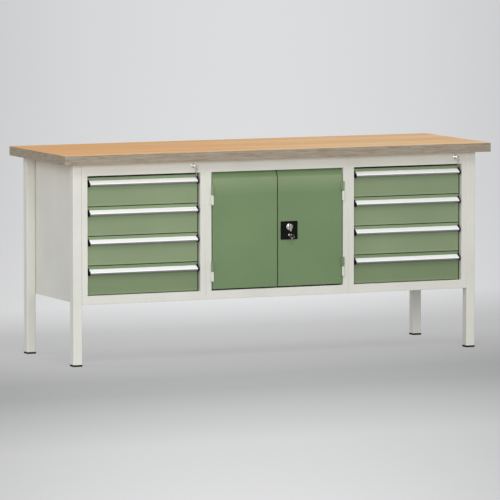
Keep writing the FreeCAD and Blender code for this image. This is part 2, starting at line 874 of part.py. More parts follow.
doc.recompute()
for thing in doc.Objects:
    if "Invalid" in thing.State or "Error" in thing.State:
        raise RuntimeError(f"{thing.Label} failed: {thing.State}")
for part in sub_parts:
    if part.Shape.isNull() or not part.Shape.isValid() or not part.Shape.Solids:
        raise RuntimeError(f"{part.Label} has no valid solid")

os.makedirs("parts", exist_ok=True)
for part in sub_parts:
    part.Shape.exportStep(f"parts/{part.Label}.step")
print(len(sub_parts), "sub-parts written")
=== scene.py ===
"""Looks for a steel workbench: beech multiplex top, four tube legs, two drawer cabinets and a
door cabinet. Metres, in the CAD frame: +X to the right, +Y to the back, +Z up, floor at z = 0."""

import math

import bmesh
import bpy
import numpy as np
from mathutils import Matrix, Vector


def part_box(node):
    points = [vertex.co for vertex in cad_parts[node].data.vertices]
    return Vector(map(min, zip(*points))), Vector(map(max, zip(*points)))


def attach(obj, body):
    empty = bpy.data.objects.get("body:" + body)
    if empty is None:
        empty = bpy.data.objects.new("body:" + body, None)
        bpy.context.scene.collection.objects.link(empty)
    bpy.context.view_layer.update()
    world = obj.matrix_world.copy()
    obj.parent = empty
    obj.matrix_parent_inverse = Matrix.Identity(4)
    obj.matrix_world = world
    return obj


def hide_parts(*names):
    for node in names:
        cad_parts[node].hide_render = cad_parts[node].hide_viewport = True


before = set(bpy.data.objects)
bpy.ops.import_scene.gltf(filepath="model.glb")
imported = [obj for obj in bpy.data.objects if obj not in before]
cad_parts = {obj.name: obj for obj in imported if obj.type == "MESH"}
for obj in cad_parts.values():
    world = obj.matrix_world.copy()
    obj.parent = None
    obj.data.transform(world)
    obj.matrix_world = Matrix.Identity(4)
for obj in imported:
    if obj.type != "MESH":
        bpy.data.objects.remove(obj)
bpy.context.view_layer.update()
MM = 0.001


# ---------------------------------------------------------------------------------------------
# Studio: a pale floor that runs far back, with painted light and shade on it (paler behind the
# bench, a band of painted shadow in front, darker to the sides) and a glow of its own, two large
# soft lamps in front and one on the left, and a long lens that stands to the left and looks
# slightly down.

def put(tree, kind, sockets=None, **settings):
    """A node in a tree. Sockets take values or other nodes' outputs; settings are properties."""
    made = tree.nodes.new(kind)
    for name, setting in settings.items():
        setattr(made, name, setting)
    for name, given in (sockets or {}).items():
        if isinstance(given, bpy.types.NodeSocket):
            tree.links.new(given, made.inputs[name])
        else:
            made.inputs[name].default_value = given
    return made


def ramp(tree, factor, *stops):
    """A colour ramp through (position, grey or colour) stops."""
    made = put(tree, "ShaderNodeValToRGB", {0: factor})
    band = made.color_ramp
    while len(band.elements) < len(stops):
        band.elements.new(0.5)
    for element, (position, tone) in zip(band.elements, stops):
        element.position = position
        element.color = (*tone, 1) if isinstance(tone, tuple) else (tone, tone, tone, 1)
    return made.outputs["Color"]


def srgb(red, green, blue):
    """Linear light from 0-255 display values."""
    share = np.array([red, green, blue]) / 255
    return tuple(np.where(share <= 0.04045, share / 12.92, ((share + 0.055) / 1.055) ** 2.4).tolist())


view_turn, view_dip = 0.41723, 0.09238
camera = bpy.data.objects.new("camera", bpy.data.cameras.new("camera"))
bpy.context.scene.collection.objects.link(camera)
camera.location = (-8.706, -19.627, 2.428)
camera.rotation_euler = (math.radians(90) - view_dip, 0, -view_turn)
camera.data.lens = 356.7
camera.data.sensor_width = 36
camera.data.clip_end = 200
bpy.context.scene.camera = camera
bpy.context.scene.view_settings.view_transform = "Standard"

floor_reach = 90
grid = np.linspace(-floor_reach, floor_reach, 3)
floor_points = np.stack([*np.meshgrid(grid, grid), np.zeros((3, 3))], axis=-1).reshape(-1, 3)
floor_quads = [(i, i + 1, i + 4, i + 3) for i in (0, 1, 3, 4)]
floor_mesh = bpy.data.meshes.new("studio_floor")
floor_mesh.from_pydata(floor_points.tolist(), [], floor_quads)
floor = bpy.data.objects.new("studio_floor", floor_mesh)
bpy.context.scene.collection.objects.link(floor)

floor_finish = bpy.data.materials.new("studio_floor")
floor_finish.use_nodes = True
tree = floor_finish.node_tree
tree.nodes.clear()
coordinates = put(tree, "ShaderNodeTexCoord").outputs["Object"]
turned = put(tree, "ShaderNodeMapping", {"Vector": coordinates, "Rotation": (0, 0, view_turn)})
split = put(tree, "ShaderNodeSeparateXYZ", {0: turned.outputs[0]})
slant = put(tree, "ShaderNodeMath", {0: split.outputs["X"], 1: -0.46, 2: split.outputs["Y"]},
            operation="MULTIPLY_ADD")
# Painted light and shade on the floor: a darker band of painted shadow just in front of the bench,
# paler floor behind it.
depth = put(tree, "ShaderNodeMapRange", {"Value": slant.outputs[0], "From Min": -3, "From Max": 17})
painted_floor_light_shade = ramp(tree, depth.outputs[0], (0.0, 0.62), (0.05, 0.52), (0.082, 0.44), (0.105, 0.44),
                  (0.122, 0.49), (0.145, 0.56), (0.160, 0.60), (0.20, 0.65), (0.26, 0.83), (1.0, 0.83))
# The floor is painted darker towards the sides: painted shade.
half_view = put(tree, "ShaderNodeMath", {0: split.outputs["Y"], 1: 0.0505, 2: 1.084},
                operation="MULTIPLY_ADD")
sideways = put(tree, "ShaderNodeMath", {0: split.outputs["X"], 1: half_view.outputs[0]},
               operation="DIVIDE")
sideways = put(tree, "ShaderNodeMath", {0: sideways.outputs[0], 1: 2}, operation="POWER")
painted_side_shade = put(tree, "ShaderNodeMapRange", {"Value": sideways.outputs[0], "To Min": 1, "To Max": 0.86})
tone = put(tree, "ShaderNodeMath", {0: painted_floor_light_shade, 1: painted_side_shade.outputs[0]}, operation="MULTIPLY")
# The floor glows, more strongly where the camera sees it than where it lights the bench.
seen = put(tree, "ShaderNodeLightPath").outputs["Is Camera Ray"]
strength = put(tree, "ShaderNodeMapRange", {"Value": seen, "To Min": 0.38, "To Max": 0.66})
glow = put(tree, "ShaderNodeEmission", {"Color": tone.outputs[0], "Strength": strength.outputs[0]})
matte = put(tree, "ShaderNodeBsdfDiffuse", {"Color": tone.outputs[0]})
mixed = put(tree, "ShaderNodeAddShader", {0: glow.outputs[0]})
shaded = put(tree, "ShaderNodeMixShader", {0: 0.35, 2: matte.outputs[0]})
tree.links.new(shaded.outputs[0], mixed.inputs[1])
put(tree, "ShaderNodeOutputMaterial", {"Surface": mixed.outputs[0]})
floor_mesh.materials.append(floor_finish)

air = bpy.data.worlds.new("studio_air")
air.use_nodes = True
air.node_tree.nodes["Background"].inputs["Color"].default_value = (0.93, 0.95, 1, 1)
air.node_tree.nodes["Background"].inputs["Strength"].default_value = 0.62
bpy.context.scene.world = air


def soft_lamp(name, spot, aim, width, height, power):
    """A rectangular lamp at one point that faces another."""
    lamp = bpy.data.lights.new(name, "AREA")
    lamp.shape = "RECTANGLE"
    lamp.size = width
    lamp.size_y = height
    lamp.energy = power
    holder = bpy.data.objects.new(name, lamp)
    bpy.context.scene.collection.objects.link(holder)
    holder.location = spot
    facing = np.array(aim, float) - np.array(spot, float)
    sideways_turn = math.atan2(facing[0], -facing[1])
    tip = math.atan2(math.hypot(facing[0], facing[1]), -facing[2])
    holder.rotation_euler = (tip, 0, sideways_turn + math.pi)


soft_lamp("lamp_front_high", (-1.0, -4.6, 6.0), (0, 0, 0.5), 5.0, 2.5, 145)
soft_lamp("lamp_front_low", (-3.6, -8.0, 2.2), (0, 0, 0.6), 6.0, 3.6, 435)
soft_lamp("lamp_left_back", (-6.5, 1.5, 3.0), (0, 0, 0.6), 2.5, 2.5, 82)


# ---------------------------------------------------------------------------------------------
# Worktop: 40 mm beech multiplex, some two dozen cross-laid plies pressed together, sawn square
# with the edges just broken, the face sanded and oiled.

def grid_quads(rows, columns):
    """The quads of a grid of points, row after row, with the last column joined to the first."""
    row = np.arange(rows - 1)[:, None] * columns
    column = np.arange(columns)[None, :]
    after = (column + 1) % columns
    quads = np.stack([row + column, row + after, row + columns + after, row + columns + column], -1)
    return quads.reshape(-1, 4)


def loft(rings, capped=True):
    """A skin through closed rings of points, one row a ring, with a flat cap on both ends."""
    rings = np.asarray(rings, float)
    rows, columns = rings.shape[:2]
    blocks = [grid_quads(rows, columns)]
    if capped:
        first = np.arange(columns)[None, :]
        blocks += [first[:, ::-1], first + (rows - 1) * columns]
    return rings.reshape(-1, 3), blocks


least_radius = 0.02 * MM


def rounded_ring(low, high, radius, steps=4):
    """A rectangle between two corners, each corner a quarter circle in even steps. No radius is
    quite nothing, so that the points stay apart."""
    radius = max(radius, least_radius)
    turn = np.linspace(0, np.pi / 2, steps + 1)
    quarter = np.concatenate([turn + corner * np.pi / 2 for corner in range(4)])
    inner_low, inner_high = np.array(low) + radius, np.array(high) - radius
    across = np.repeat([inner_high[0], inner_low[0], inner_low[0], inner_high[0]], steps + 1)
    up = np.repeat([inner_high[1], inner_high[1], inner_low[1], inner_low[1]], steps + 1)
    return np.stack([across + radius * np.cos(quarter), up + radius * np.sin(quarter)], -1)


def eased_block(low, high, ease, corner=None, along=1, steps=3):
    """A block: a rounded rectangle carried along one axis, drawn in by a quarter circle at each
    end. Low and high are opposite corners; ease is the quarter circle's radius."""
    low, high = np.array(low, float), np.array(high, float)
    first, second = [axis for axis in range(3) if axis != along]
    corner = ease if corner is None else corner
    turn = np.linspace(0, np.pi / 2, steps + 1)
    inset = ease * (1 - np.sin(turn))
    depth = ease * (1 - np.cos(turn))
    insets = np.concatenate([inset, inset[::-1]])
    places = np.concatenate([low[along] + depth, high[along] - depth[::-1]])
    rings = []
    for drawn_in, spot in zip(insets, places):
        flat = rounded_ring(
            (low[first] + drawn_in, low[second] + drawn_in),
            (high[first] - drawn_in, high[second] - drawn_in),
            corner - drawn_in * 0.5,
        )
        ring = np.empty((len(flat), 3))
        ring[:, first], ring[:, second], ring[:, along] = flat[:, 0], flat[:, 1], spot
        rings.append(ring)
    return loft(rings)


merge_reach = 0.001 * MM


def build(name, shells, finish, body, nodes=(), sharp=38):
    """One piece from shells. Each is points and blocks of faces, and they share one mesh. Its
    doubles are merged, its faces turned outwards, and edges over the sharp angle, in degrees,
    stay sharp. It rides on a body."""
    mesh = bpy.data.meshes.new(name)
    offsets = np.cumsum([0] + [len(points) for points, _ in shells])
    faces = []
    for offset, (_, blocks) in zip(offsets, shells):
        for block in blocks:
            faces += (block + offset).tolist()
    mesh.from_pydata(np.concatenate([points for points, _ in shells]).tolist(), [], faces)
    work = bmesh.new()
    work.from_mesh(mesh)
    bmesh.ops.remove_doubles(work, verts=work.verts, dist=merge_reach)
    bmesh.ops.dissolve_degenerate(work, dist=merge_reach, edges=work.edges)
    bmesh.ops.recalc_face_normals(work, faces=work.faces)
    work.to_mesh(mesh)
    work.free()
    mesh.shade_smooth()
    mesh.set_sharp_from_angle(angle=math.radians(sharp))
    piece = bpy.data.objects.new(name, mesh)
    bpy.context.scene.collection.objects.link(piece)
    mesh.materials.append(finish)
    even = piece.modifiers.new("flat_faces_stay_flat", "WEIGHTED_NORMAL")
    even.keep_sharp = True
    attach(piece, body)
    if nodes:
        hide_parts(*nodes)
    return piece


def new_group(name, inputs, outputs):
    """An empty node group with named inputs (name, kind, value) and outputs (name, kind)."""
    group = bpy.data.node_groups.new(name, "ShaderNodeTree")
    for label, kind, start in inputs:
        socket = group.interface.new_socket(label, in_out="INPUT", socket_type=f"NodeSocket{kind}")
        socket.default_value = start
    for label, kind in outputs:
        group.interface.new_socket(label, in_out="OUTPUT", socket_type=f"NodeSocket{kind}")
    return group, put(group, "NodeGroupInput").outputs, put(group, "NodeGroupOutput")


def join(tree, source, target):
    """A link from an output to an input."""
    tree.links.new(source, target)


def math_node(tree, operation, first, second=0.0, third=0.0):
    """One sum with one, two or three numbers."""
    made = put(tree, "ShaderNodeMath", {0: first, 1: second, 2: third}, operation=operation)
    return made.outputs[0]


def noise(tree, place, stretch, scale=1.0, detail=3.0, rough=0.55, warp=0.0):
    """Cloudy noise from 0 to 1, with a different scale along each axis."""
    mapped = put(tree, "ShaderNodeMapping", {"Vector": place, "Scale": stretch})
    made = put(tree, "ShaderNodeTexNoise", {
        "Vector": mapped.outputs[0], "Scale": scale, "Detail": detail, "Roughness": rough,
        "Distortion": warp})
    return made.outputs[0]


def blend_colours(tree, share, first, second, how="MIX"):
    """Two colours mixed by a share from 0 to 1."""
    made = put(tree, "ShaderNodeMix", {"Factor": share}, data_type="RGBA", blend_type=how)
    for socket, given in ((made.inputs[6], first), (made.inputs[7], second)):
        if isinstance(given, bpy.types.NodeSocket):
            tree.links.new(given, socket)
        else:
            socket.default_value = (*given, 1)
    return made.outputs[2]


def new_finish(name, **sockets):
    """A material with one plain shader whose constant sockets are set here."""
    finish = bpy.data.materials.new(name)
    finish.use_nodes = True
    shader = finish.node_tree.nodes["Principled BSDF"]
    for label, given in sockets.items():
        shader.inputs[label.replace("_", " ")].default_value = given
    return finish, finish.node_tree, shader


def raise_surface(tree, shader, height, deep, strength=1.0):
    """Feed a height to the shader's normal; deep is the height of 1 in metres."""
    bump = put(tree, "ShaderNodeBump", {"Height": height, "Distance": deep, "Strength": strength})
    join(tree, bump.outputs[0], shader.inputs["Normal"])


# The face: broad bands of darker and paler staves, streaks and fine grain along them, short
# pore flecks, and a warmer tone towards the left end.
beech_face, tree, shader = new_finish("oiled_beech_face", IOR=1.45, Specular_IOR_Level=0.2)
place = put(tree, "ShaderNodeTexCoord").outputs["Object"]
bands = noise(tree, place, (0.55, 9, 1), 1.0, 3, 0.55, 0.6)
grain = noise(tree, place, (3, 260, 40), 1.0, 4, 0.6, 0.2)
flecks = noise(tree, place, (160, 1100, 400), 1.0, 2, 0.5)
fleck_mask = ramp(tree, flecks, (0.60, 0.0), (0.74, 1.0))
warmth = noise(tree, place, (0.35, 2.2, 1), 1.0, 2, 0.5, 0.3)
across = put(tree, "ShaderNodeSeparateXYZ", {0: place}).outputs["X"]
warm_side = math_node(tree, "MULTIPLY_ADD", across, -0.22, warmth)
wood = ramp(tree, bands, (0.32, srgb(216, 168, 108)), (0.44, srgb(240, 184, 122)),
            (0.55, srgb(243, 196, 136)), (0.68, srgb(248, 216, 168)))
streaks = noise(tree, place, (1.1, 38, 1), 1.0, 3, 0.6, 0.3)
warm_share = ramp(tree, warm_side, (0.40, 0.0), (0.68, 1.0))
streak_share = ramp(tree, streaks, (0.46, 0.0), (0.62, 0.6))
grain_share = ramp(tree, grain, (0.42, 0.0), (0.72, 0.5))
fleck_share = math_node(tree, "MULTIPLY", fleck_mask, 0.35)
warm = blend_colours(tree, warm_share, wood, srgb(226, 164, 92))
streaked = blend_colours(tree, streak_share, warm, srgb(212, 168, 100))
lined = blend_colours(tree, grain_share, streaked, srgb(198, 142, 86))
flecked = blend_colours(tree, fleck_share, lined, srgb(170, 116, 70))
join(tree, flecked, shader.inputs["Base Color"])
sheen = ramp(tree, grain, (0.3, 0.42), (0.8, 0.58))
join(tree, sheen, shader.inputs["Roughness"])
raise_surface(tree, shader, math_node(tree, "ADD", grain, flecks), 0.00012, 0.6)

# The edge: a triangle wave of the height, bent a little, gives pale long-grain plies and dark
# end-grain plies in turn, each ply with a tone of its own and a thin dark line of glue.
ply_thick = 1.6 * MM
ply_bend = 1.2 * MM
beech_plies, tree, shader = new_finish("sawn_beech_plies", IOR=1.45)
place = put(tree, "ShaderNodeTexCoord").outputs["Object"]
split = put(tree, "ShaderNodeSeparateXYZ", {0: place})
wander = noise(tree, place, (1.2, 1.2, 3), 1.0, 2)
level = math_node(tree, "MULTIPLY_ADD", wander, ply_bend, split.outputs["Z"])
layer = math_node(tree, "DIVIDE", level, 2 * ply_thick)
wave = math_node(tree, "PINGPONG", layer, 0.5)
ply_mask = ramp(tree, wave, (0.20, 0.0), (0.30, 1.0))
ply_number = math_node(tree, "FLOOR", math_node(tree, "MULTIPLY", layer, 2.0))
count = put(tree, "ShaderNodeTexWhiteNoise", {"W": ply_number}, noise_dimensions="1D").outputs["Value"]
pores = noise(tree, place, (900, 900, 700), 1.0, 2)
long_grain = noise(tree, place, (14, 14, 900), 1.0, 3, 0.6)
pale = ramp(tree, long_grain, (0.3, srgb(147, 138, 119)), (0.7, srgb(174, 164, 146)))
dark = ramp(tree, pores, (0.35, srgb(122, 108, 90)), (0.65, srgb(148, 135, 115)))
plies = blend_colours(tree, ply_mask, pale, dark)
patches = noise(tree, place, (17, 17, 210), 1.0, 4, 0.6, 0.4)
count_share = ramp(tree, count, (0.0, 0.0), (1.0, 0.35))
brown_share = ramp(tree, patches, (0.38, 0.6), (0.49, 0.0))
grey_share = ramp(tree, patches, (0.53, 0.0), (0.64, 0.45))
glue = ramp(tree, math_node(tree, "PINGPONG", layer, 0.25), (0.0, 1.0), (0.035, 0.0))
glue_share = math_node(tree, "MULTIPLY", glue, 0.5)
counted = blend_colours(tree, count_share, plies, srgb(140, 128, 110))
browned = blend_colours(tree, brown_share, counted, srgb(122, 98, 78))
toned = blend_colours(tree, grey_share, browned, srgb(150, 153, 150))
glued = blend_colours(tree, glue_share, toned, srgb(96, 76, 58))
join(tree, glued, shader.inputs["Base Color"])
join(tree, ramp(tree, pores, (0.3, 0.62), (0.7, 0.78)), shader.inputs["Roughness"])
raise_surface(tree, shader, math_node(tree, "ADD", wave, pores), 0.00018, 0.7)

edge_ease, corner_round = 1.5 * MM, 2 * MM
face_slope = 0.6
top_low, top_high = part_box("worktop")
slab = eased_block(top_low, top_high, edge_ease, corner=corner_round, along=2)
worktop = build("worktop_slab", [slab], beech_plies, "bench", ["worktop"])
worktop.data.materials.append(beech_face)
face_index = [1 if abs(side.normal.z) > face_slope else 0 for side in worktop.data.polygons]
worktop.data.polygons.foreach_set("material_index", face_index)


# ---------------------------------------------------------------------------------------------
# Legs: 40 mm square steel tube, powder coated light grey, bolted to the outer cabinets' sides.
# Black moulded plastic caps are pressed into the lower ends.

skin, given, result = new_group(
    "powder_coat_skin",
    [("Paint", "Color", (0.5, 0.5, 0.5, 1)), ("Gloss", "Float", 0.4)],
    [("Colour", "Color"), ("Roughness", "Float"), ("Height", "Float")],
)
place = put(skin, "ShaderNodeTexCoord").outputs["Object"]
peel = noise(skin, place, (1, 1, 1), 700, 2, 0.5)
specks = noise(skin, place, (1, 1, 1), 3200, 1, 0.5)
clouds = noise(skin, place, (1, 1, 1), 3.5, 3, 0.5)
hands = noise(skin, place, (6, 6, 2.5), 1.0, 4, 0.6, 0.5)
darker = blend_colours(skin, 1.0, given["Paint"], (0.93, 0.93, 0.92), "MULTIPLY")
lighter = blend_colours(skin, 1.0, given["Paint"], (1.04, 1.04, 1.04), "MULTIPLY")
clouded = blend_colours(skin, ramp(skin, clouds, (0.3, 0.0), (0.7, 1.0)), darker, lighter)
speckled = blend_colours(skin, ramp(skin, specks, (0.62, 0.0), (0.75, 0.18)), clouded, darker)
join(skin, speckled, result.inputs["Colour"])
smudge = math_node(skin, "MULTIPLY_ADD", hands, 0.14, -0.07)
join(skin, math_node(skin, "ADD", given["Gloss"], smudge), result.inputs["Roughness"])
join(skin, math_node(skin, "MULTIPLY_ADD", specks, 0.25, peel), result.inputs["Height"])


def powder_coat(name, colour, gloss, lit_colour=None, lit_zone=None):
    """Powder coat in one colour: a faint orange peel, fine specks and clouds, hand smudges. It
    turns to a second colour over a zone of heights (start, full, full, end): a band of painted
    light."""
    finish, tree, shader = new_finish(name, IOR=1.5, Coat_Weight=0.08, Coat_Roughness=0.25)
    coat = put(tree, "ShaderNodeGroup", node_tree=skin)
    coat.inputs["Paint"].default_value = (*colour, 1)
    coat.inputs["Gloss"].default_value = gloss
    # Over the zone the paint is painted paler: painted light.
    if lit_zone:
        place = put(tree, "ShaderNodeTexCoord").outputs["Object"]
        height = put(tree, "ShaderNodeSeparateXYZ", {0: place}).outputs["Z"]
        share = put(tree, "ShaderNodeMapRange", {
            "Value": height, "From Min": lit_zone[0], "From Max": lit_zone[-1]}).outputs[0]
        spots = [(level - lit_zone[0]) / (lit_zone[-1] - lit_zone[0]) for level in lit_zone]
        painted_light_share = ramp(tree, share, *zip(spots, (0, 1, 1, 0)))
        join(tree, blend_colours(tree, painted_light_share, colour, lit_colour), coat.inputs["Paint"])
    join(tree, coat.outputs["Colour"], shader.inputs["Base Color"])
    join(tree, coat.outputs["Roughness"], shader.inputs["Roughness"])
    raise_surface(tree, shader, coat.outputs["Height"], 0.00004, 0.5)
    return finish


def finish_node(name, finish):
    """Give a CAD node that is shown as it is a finish."""
    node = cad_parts[name]
    for place_in_list in range(len(node.material_slots)):
        node.material_slots[place_in_list].material = finish
    if not node.material_slots:
        node.data.materials.append(finish)


legs = ("leg_front_left", "leg_front_right", "leg_back_left", "leg_back_right")
light_paint = powder_coat("light_grey_powder_coat", srgb(209, 208, 199), 0.42)
for leg in legs:
    finish_node(leg, light_paint)

black_plastic, tree, shader = new_finish("black_moulded_plastic", IOR=1.5, Specular_IOR_Level=0.12)
place = put(tree, "ShaderNodeTexCoord").outputs["Object"]
pebbles = put(tree, "ShaderNodeTexVoronoi", {"Vector": place, "Scale": 1500}).outputs["Distance"]
dust = noise(tree, place, (1, 1, 1), 60, 4)
join(tree, ramp(tree, dust, (0.4, 0.0025), (0.75, 0.006)), shader.inputs["Base Color"])
join(tree, ramp(tree, pebbles, (0.0, 0.42), (0.8, 0.6)), shader.inputs["Roughness"])
raise_surface(tree, shader, pebbles, 0.00005, 0.6)

# Each cap is square rings from the floor up: a rim 8 mm high that stands 1 mm proud of the tube,
# and a stub that reaches 25 mm into it.
cap_levels = np.array([0, 0.4, 1.4, 6.6, 7.6, 8.0, 8.0, 33.0]) * MM
cap_reach = np.array([-0.6, 0.4, 1.0, 1.0, 0.6, 0.2, -2.3, -2.3]) * MM
cap_corner = 3 * MM
foot_shells = []
for leg in legs:
    low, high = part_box(leg)
    rings = []
    for z, out in zip(cap_levels, cap_reach):
        flat = rounded_ring((low.x - out, low.y - out), (high.x + out, high.y + out), cap_corner)
        rings.append(np.column_stack([flat, np.full(len(flat), z)]))
    foot_shells.append(loft(rings))
build("foot_caps", foot_shells, black_plastic, "bench", ["foot_plugs"])


# ---------------------------------------------------------------------------------------------
# Cabinets: a face frame of box section with its joints welded and ground flush, and sheet
# sides, floor, lid and back, spot welded and powder coated light grey together.

def closing_band(rows, columns):
    """The quads that join the last ring of a loft back to the first, so that it closes on itself."""
    last = (rows - 1) * columns
    column = np.arange(columns)
    after = (column + 1) % columns
    return np.stack([last + column, last + after, after, column], -1)


def face_frame(low, high, opening_low, opening_high, round_outside, round_inside, steps=3):
    """A frame round an opening: its section is carried round as nested rectangles. Low and high
    are (x, y, z) corners; the opening's are (x, z)."""
    turn = np.linspace(0, np.pi / 2, steps + 1)
    rows = [(0, high[1], True)]
    rows += [(round_outside * (1 - math.cos(t)), low[1] + round_outside * (1 - math.sin(t)), True)
             for t in turn]
    rows += [(round_inside * (1 - math.sin(t)), low[1] + round_inside * (1 - math.cos(t)), False)
             for t in turn]
    rows += [(0, high[1], False)]
    rings = []
    for offset, y, outside in rows:
        if outside:
            x_low, x_high = low[0] + offset, high[0] - offset
            z_low, z_high = low[2] + offset, high[2] - offset
        else:
            x_low, x_high = opening_low[0] - offset, opening_high[0] + offset
            z_low, z_high = opening_low[1] - offset, opening_high[1] + offset
        rings.append([(x_low, y, z_low), (x_high, y, z_low), (x_high, y, z_high), (x_low, y, z_high)])
    points, blocks = loft(rings, capped=False)
    return points, blocks + [closing_band(len(rings), 4)]


sheet_ease, sheet_corner = 0.4 * MM, 0.8 * MM


def sheet_panel(low, high):
    """A cut sheet with its edges just rounded; the thinnest side is its thickness."""
    thin = int(np.argmin(np.array(high) - np.array(low)))
    return eased_block(low, high, sheet_ease, corner=sheet_corner, along=thin, steps=2)


stile, frame_deep, sheet = 26 * MM, 22 * MM, 1.5 * MM
top_rail, bottom_rail = 52 * MM, 37 * MM
frame_outside, frame_inside = 1.6 * MM, 1.0 * MM
clip_wide, clip_deep, clip_high, clip_ease = 14 * MM, 28 * MM, 4 * MM, 0.8 * MM
clip_front, clip_back = 20 * MM, 60 * MM
rod_room = 2 * MM
cabinet_inside = {}
for side in ("left", "middle", "right"):
    low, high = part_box(f"carcass_{side}")
    x0, y0, z0 = low
    x1, y1, z1 = high
    y_sheet = y0 + frame_deep
    floor_z = z0 + bottom_rail - sheet if side == "middle" else z0
    cabinet_inside[side] = (x0 + sheet, x1 - sheet)
    shells = [
        face_frame((x0, y0, z0), (x1, y_sheet, z1), (x0 + stile, z0 + bottom_rail),
                   (x1 - stile, z1 - top_rail), frame_outside, frame_inside),
        sheet_panel((x0, y_sheet, z0), (x0 + sheet, y1, z1)),
        sheet_panel((x1 - sheet, y_sheet, z0), (x1, y1, z1)),
        sheet_panel((x0 + sheet, y_sheet, z1 - sheet), (x1 - sheet, y1 - sheet, z1)),
        sheet_panel((x0 + sheet, y1 - sheet, z0), (x1 - sheet, y1, z1 - sheet)),
    ]
    if side == "middle":
        rod_low, rod_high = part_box("locking_rod_lower")
        slot_low, slot_high = rod_low.x - rod_room, rod_high.x + rod_room
        strip_back = rod_high.y + rod_room
        shells += [
            sheet_panel((x0 + sheet, strip_back, floor_z), (x1 - sheet, y1 - sheet, floor_z + sheet)),
            sheet_panel((x0 + sheet, y_sheet, floor_z), (slot_low, strip_back, floor_z + sheet)),
            sheet_panel((slot_high, y_sheet, floor_z), (x1 - sheet, strip_back, floor_z + sheet)),
        ]
        shelf_low, shelf_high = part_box("shelf")
        for clip_y in (shelf_low.y + clip_front, y1 - clip_back):
            for clip_x in (x0 + sheet, x1 - sheet - clip_wide):
                clip_low = np.array([clip_x, clip_y, shelf_high.z - sheet - clip_high])
                clip_size = np.array([clip_wide, clip_deep, clip_high])
                shells.append(eased_block(clip_low, clip_low + clip_size, clip_ease))
    else:
        shells.append(sheet_panel((x0 + sheet, y_sheet, z0), (x1 - sheet, y1 - sheet, z0 + sheet)))
    build(f"cabinet_{side}", shells, light_paint, "bench", [f"carcass_{side}"])

zinc, tree, shader = new_finish("bright_zinc_plating", Metallic=1.0)
place = put(tree, "ShaderNodeTexCoord").outputs["Object"]
crystals = put(tree, "ShaderNodeTexVoronoi", {"Vector": place, "Scale": 160}).outputs["Color"]
bloom = noise(tree, place, (1, 1, 1), 45, 4)
plating = blend_colours(tree, bloom, (0.50, 0.51, 0.52), (0.68, 0.68, 0.66))
join(tree, plating, shader.inputs["Base Color"])
join(tree, ramp(tree, crystals, (0.1, 0.32), (0.9, 0.5)), shader.inputs["Roughness"])
raise_surface(tree, shader, bloom, 0.00003, 0.4)
finish_node("leg_bolts", zinc)
finish_node("worktop_screws", zinc)


# ---------------------------------------------------------------------------------------------
# Runners and shelf: C rails of zinc-plated strip on the drawer cabinets' walls, and in the
# middle a shelf of folded sheet that lies loose on four clips.

def folded_strip(section, thick):
    """The two sides of a folded sheet: an open (across, up) line and the same line moved to its
    left by the thickness, each corner mitred. Returned as one closed outline."""
    line = np.array(section, float)
    step = np.diff(line, axis=0)
    step /= np.linalg.norm(step, axis=1)[:, None]
    normal = np.stack([-step[:, 1], step[:, 0]], -1)
    before = np.vstack([normal[:1], normal])
    after = np.vstack([normal, normal[-1:]])
    mitre = before + after
    mitre /= (mitre * before).sum(axis=1)[:, None]
    return np.vstack([line, (line + mitre * thick)[::-1]])


def softened(outline, radius, steps=3):
    """A closed outline whose corners are arcs that touch both of their sides."""
    points = np.array(outline, float)
    to_last = np.roll(points, 1, axis=0) - points
    to_next = np.roll(points, -1, axis=0) - points
    last_long = np.linalg.norm(to_last, axis=1)[:, None]
    next_long = np.linalg.norm(to_next, axis=1)[:, None]
    to_last, to_next = to_last / last_long, to_next / next_long
    half = np.arccos(np.clip((to_last * to_next).sum(axis=1), -1, 1))[:, None] / 2
    radius = np.broadcast_to(np.asarray(radius, float).reshape(-1, 1), half.shape)
    reach = np.minimum(radius / np.tan(half), 0.45 * np.minimum(last_long, next_long))
    start, end = points + to_last * reach, points + to_next * reach
    share = np.linspace(0, 1, steps + 1)[None, :, None]
    curve = (1 - share) ** 2 * start[:, None] + 2 * share * (1 - share) * points[:, None]
    curve = curve + share ** 2 * end[:, None]
    return curve.reshape(-1, 2)


def carried(outline, spots, plane):
    """A closed outline carried straight through spots along the axis that is left over. Plane
    names the outline's two axes, such as (1, 2) for across in y and up in z."""
    axis = 3 - plane[0] - plane[1]
    rings = np.empty((len(spots), len(outline), 3))
    rings[:, :, plane[0]] = outline[:, 0]
    rings[:, :, plane[1]] = outline[:, 1]
    rings[:, :, axis] = np.asarray(spots, float)[:, None]
    return loft(rings)


rail_wide, rail_high, rail_play = 35 * MM, 26 * MM, 2 * MM
bar_wide, bar_high, bar_lift = 9.5 * MM, 22 * MM, 44 * MM
rail_fold, shelf_fold = 0.5 * MM, 1.2 * MM
for side in ("left", "right"):
    low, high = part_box(f"runner_rails_{side}")
    shells = []
    for number in range(1, 5):
        bar_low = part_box(f"drawer_{side}_{number}_front")[0].z + bar_lift
        z = bar_low - rail_play
        for wall, hand in ((cabinet_inside[side][0], 1), (cabinet_inside[side][1], -1)):
            line = [(wall + hand * rail_wide, z), (wall, z), (wall, z + rail_high),
                    (wall + hand * rail_wide, z + rail_high)]
            outline = folded_strip(line, sheet if hand < 0 else -sheet)
            shells.append(carried(softened(outline, rail_fold), [low.y, high.y], (0, 2)))
    build(f"runner_rails_{side}_folded", shells, zinc, "bench", [f"runner_rails_{side}"])

low, high = shelf_low, shelf_high
line = [(low.y, low.z), (low.y, high.z), (high.y, high.z), (high.y, low.z)]
outline = softened(folded_strip(line, -sheet), shelf_fold)
build("shelf_folded", [carried(outline, [low.x, high.x], (1, 2))], light_paint, "bench", ["shelf"])


# ---------------------------------------------------------------------------------------------
# Drawers: a green front pressed from sheet with a small lip along its lower edge, a coated
# tray that hangs on two runner bars, an aluminium grip strip and its two black end caps.

